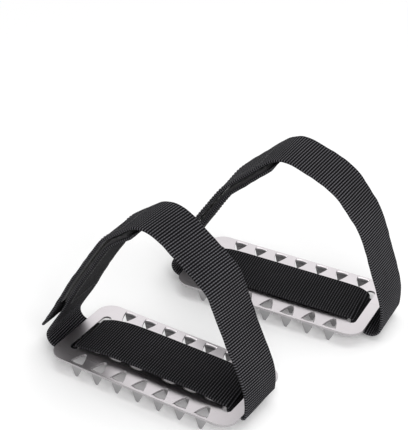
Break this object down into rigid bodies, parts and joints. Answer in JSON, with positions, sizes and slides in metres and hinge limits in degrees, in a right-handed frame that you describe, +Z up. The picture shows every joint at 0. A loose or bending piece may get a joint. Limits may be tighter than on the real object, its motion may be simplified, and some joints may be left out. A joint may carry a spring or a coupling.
{
  "type": "strap-on ice crampons",
  "caption": "Pair of short ice crampons: punched steel spike plates, each held under a boot by webbing with a hook-and-loop closure.",
  "frame": {"origin": "on the ground plane under the middle of the pair's bounding box", "axes": "+Z up, with the tooth tips at z = 0; +X along the front crampon's plate, towards its right end bar; +Y from the front crampon to the rear one"},
  "size_m": [0.1478, 0.1578, 0.0965],
  "materials": {
    "plate_steel": "satin stainless sheet, fine brushed grain, bright cut edges",
    "webbing": "charcoal ribbed polyester webbing",
    "hook_tape": "black nylon hook tape",
    "pile_tape": "black brushed pile tape",
    "thread": "black polyester lock stitching"
  },
  "bodies": {
    "front_plate": {"front_spike_plate": "plate_steel", "front_sole_strap": "webbing"},
    "front_loop": {"front_arch_strap": "webbing", "front_short_strap_root": "webbing"},
    "front_short_end": {"front_short_strap": "webbing", "front_pile_tape": "pile_tape", "front_pile_stitching": "thread"},
    "front_tail": {"front_tail_strap": "webbing", "front_hook_tape": "hook_tape", "front_hook_stitching": "thread"},
    "back_plate": {"back_spike_plate": "plate_steel", "back_sole_strap": "webbing"},
    "back_loop": {"back_arch_strap": "webbing", "back_short_strap_root": "webbing"},
    "back_short_end": {"back_short_strap": "webbing", "back_pile_tape": "pile_tape", "back_pile_stitching": "thread"},
    "back_tail": {"back_tail_strap": "webbing", "back_hook_tape": "hook_tape", "back_hook_stitching": "thread"}
  },
  "joints": [
    {"name": "front_loop_lean", "type": "hinge", "parent": "front_plate", "child": "front_loop", "pos_m": [-0.00654, -0.05111, 0.008], "axis": [1, 0, 0], "range_deg": [-18, 18]},
    {"name": "front_short_end_fold", "type": "hinge", "parent": "front_loop", "child": "front_short_end", "pos_m": [-0.05945, -0.05111, 0.02867], "axis": [0, 1, 0], "range_deg": [0, 45]},
    {"name": "front_tail_peel", "type": "hinge", "parent": "front_loop", "child": "front_tail", "pos_m": [-0.02229, -0.05111, 0.09261], "axis": [0, 1, 0], "range_deg": [0, 80]},
    {"name": "back_lift", "type": "slide", "parent": "front_plate", "child": "back_plate", "axis": [0, 0, 1], "range_m": [0, 0.12]},
    {"name": "back_loop_lean", "type": "hinge", "parent": "back_plate", "child": "back_loop", "pos_m": [0.00946, 0.04679, 0.008], "axis": [0.9954, 0.0958, 0], "range_deg": [-18, 18]},
    {"name": "back_short_end_fold", "type": "hinge", "parent": "back_loop", "child": "back_short_end", "pos_m": [-0.04192, 0.04184, 0.02863], "axis": [-0.0958, 0.9954, 0], "range_deg": [0, 45]},
    {"name": "back_tail_peel", "type": "hinge", "parent": "back_loop", "child": "back_tail", "pos_m": [-0.00061, 0.04582, 0.09153], "axis": [-0.0958, 0.9954, 0], "range_deg": [0, 80]}
  ]
}
